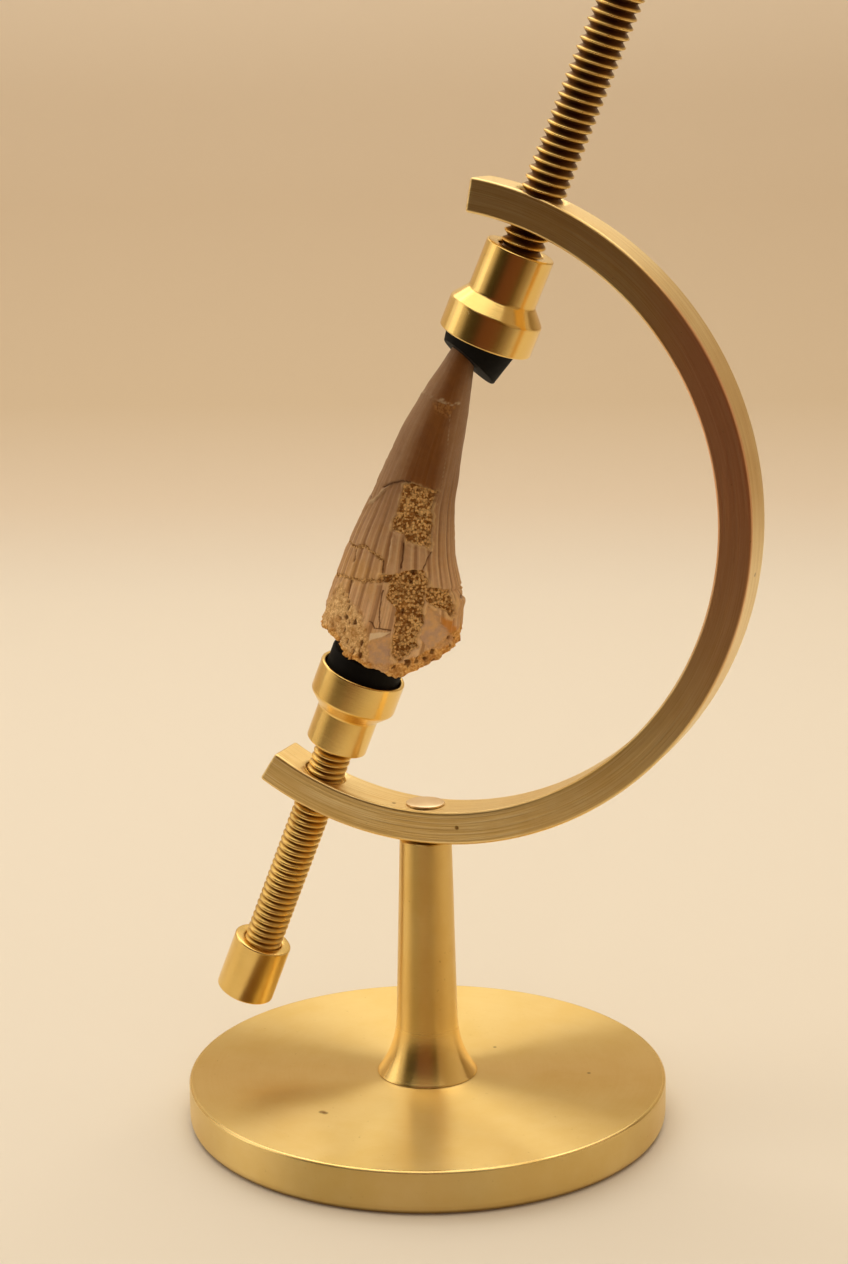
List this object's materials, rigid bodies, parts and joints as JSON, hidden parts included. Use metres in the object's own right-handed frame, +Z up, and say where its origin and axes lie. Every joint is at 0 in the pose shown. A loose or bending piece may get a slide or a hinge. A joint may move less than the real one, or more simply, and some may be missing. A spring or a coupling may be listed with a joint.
{
  "type": "fossil claw on a stand",
  "caption": "Fluted fossil claw held point up between rubber-padded screw clamps in an open brass arc, on a turned stem and a round base.",
  "frame": {"origin": "centre of the base's underside, on the stem's axis", "axes": "+Z up along the stem; the arc lies in the XZ plane and opens towards -X; the viewer's side is -Y"},
  "size_m": [0.0902, 0.0762, 0.1869],
  "materials": {
    "fossil_enamel": "glossy fluted enamel with rough sandy matrix",
    "base_brass": "satin, brushed in circles",
    "stem_brass": "satin, turned",
    "arc_brass": "brushed along its length",
    "pin_brass": "polished",
    "cup_brass": "bright turned",
    "screw_brass": "bright cut thread",
    "knob_brass": "bright turned",
    "pad_rubber": "matte black"
  },
  "bodies": {
    "root": {"base_disc": "base_brass", "stem": "stem_brass", "arc_frame": "arc_brass", "arc_pin": "pin_brass"},
    "upper_jaw": {"upper_cup": "cup_brass", "upper_pad": "pad_rubber"},
    "upper_spindle": {"upper_screw": "screw_brass", "upper_knob": "knob_brass"},
    "lower_jaw": {"lower_cup": "cup_brass", "lower_pad": "pad_rubber", "claw": "fossil_enamel"},
    "lower_spindle": {"lower_screw": "screw_brass", "lower_knob": "knob_brass"}
  },
  "joints": [
    {"name": "upper_slide", "type": "slide", "parent": "root", "child": "upper_jaw", "axis": [0.3867, 0, 0.9222], "range_m": [0, 0.0026]},
    {"name": "upper_turn", "type": "hinge", "parent": "upper_jaw", "child": "upper_spindle", "pos_m": [-0.0011, 0, 0.0975], "axis": [0.3867, 0, 0.9222], "range_deg": [0, 669]},
    {"name": "lower_slide", "type": "slide", "parent": "root", "child": "lower_jaw", "axis": [-0.3665, 0, -0.9304], "range_m": [0, 0.0045]},
    {"name": "lower_turn", "type": "hinge", "parent": "lower_jaw", "child": "lower_spindle", "pos_m": [-0.00015, 0, 0.0975], "axis": [-0.3665, 0, -0.9304], "range_deg": [0, 1473]}
  ],
  "couplings": [
    {"joint": "upper_turn", "follows": "upper_slide", "rad_per_m": 4488},
    {"joint": "lower_turn", "follows": "lower_slide", "rad_per_m": 5712}
  ]
}
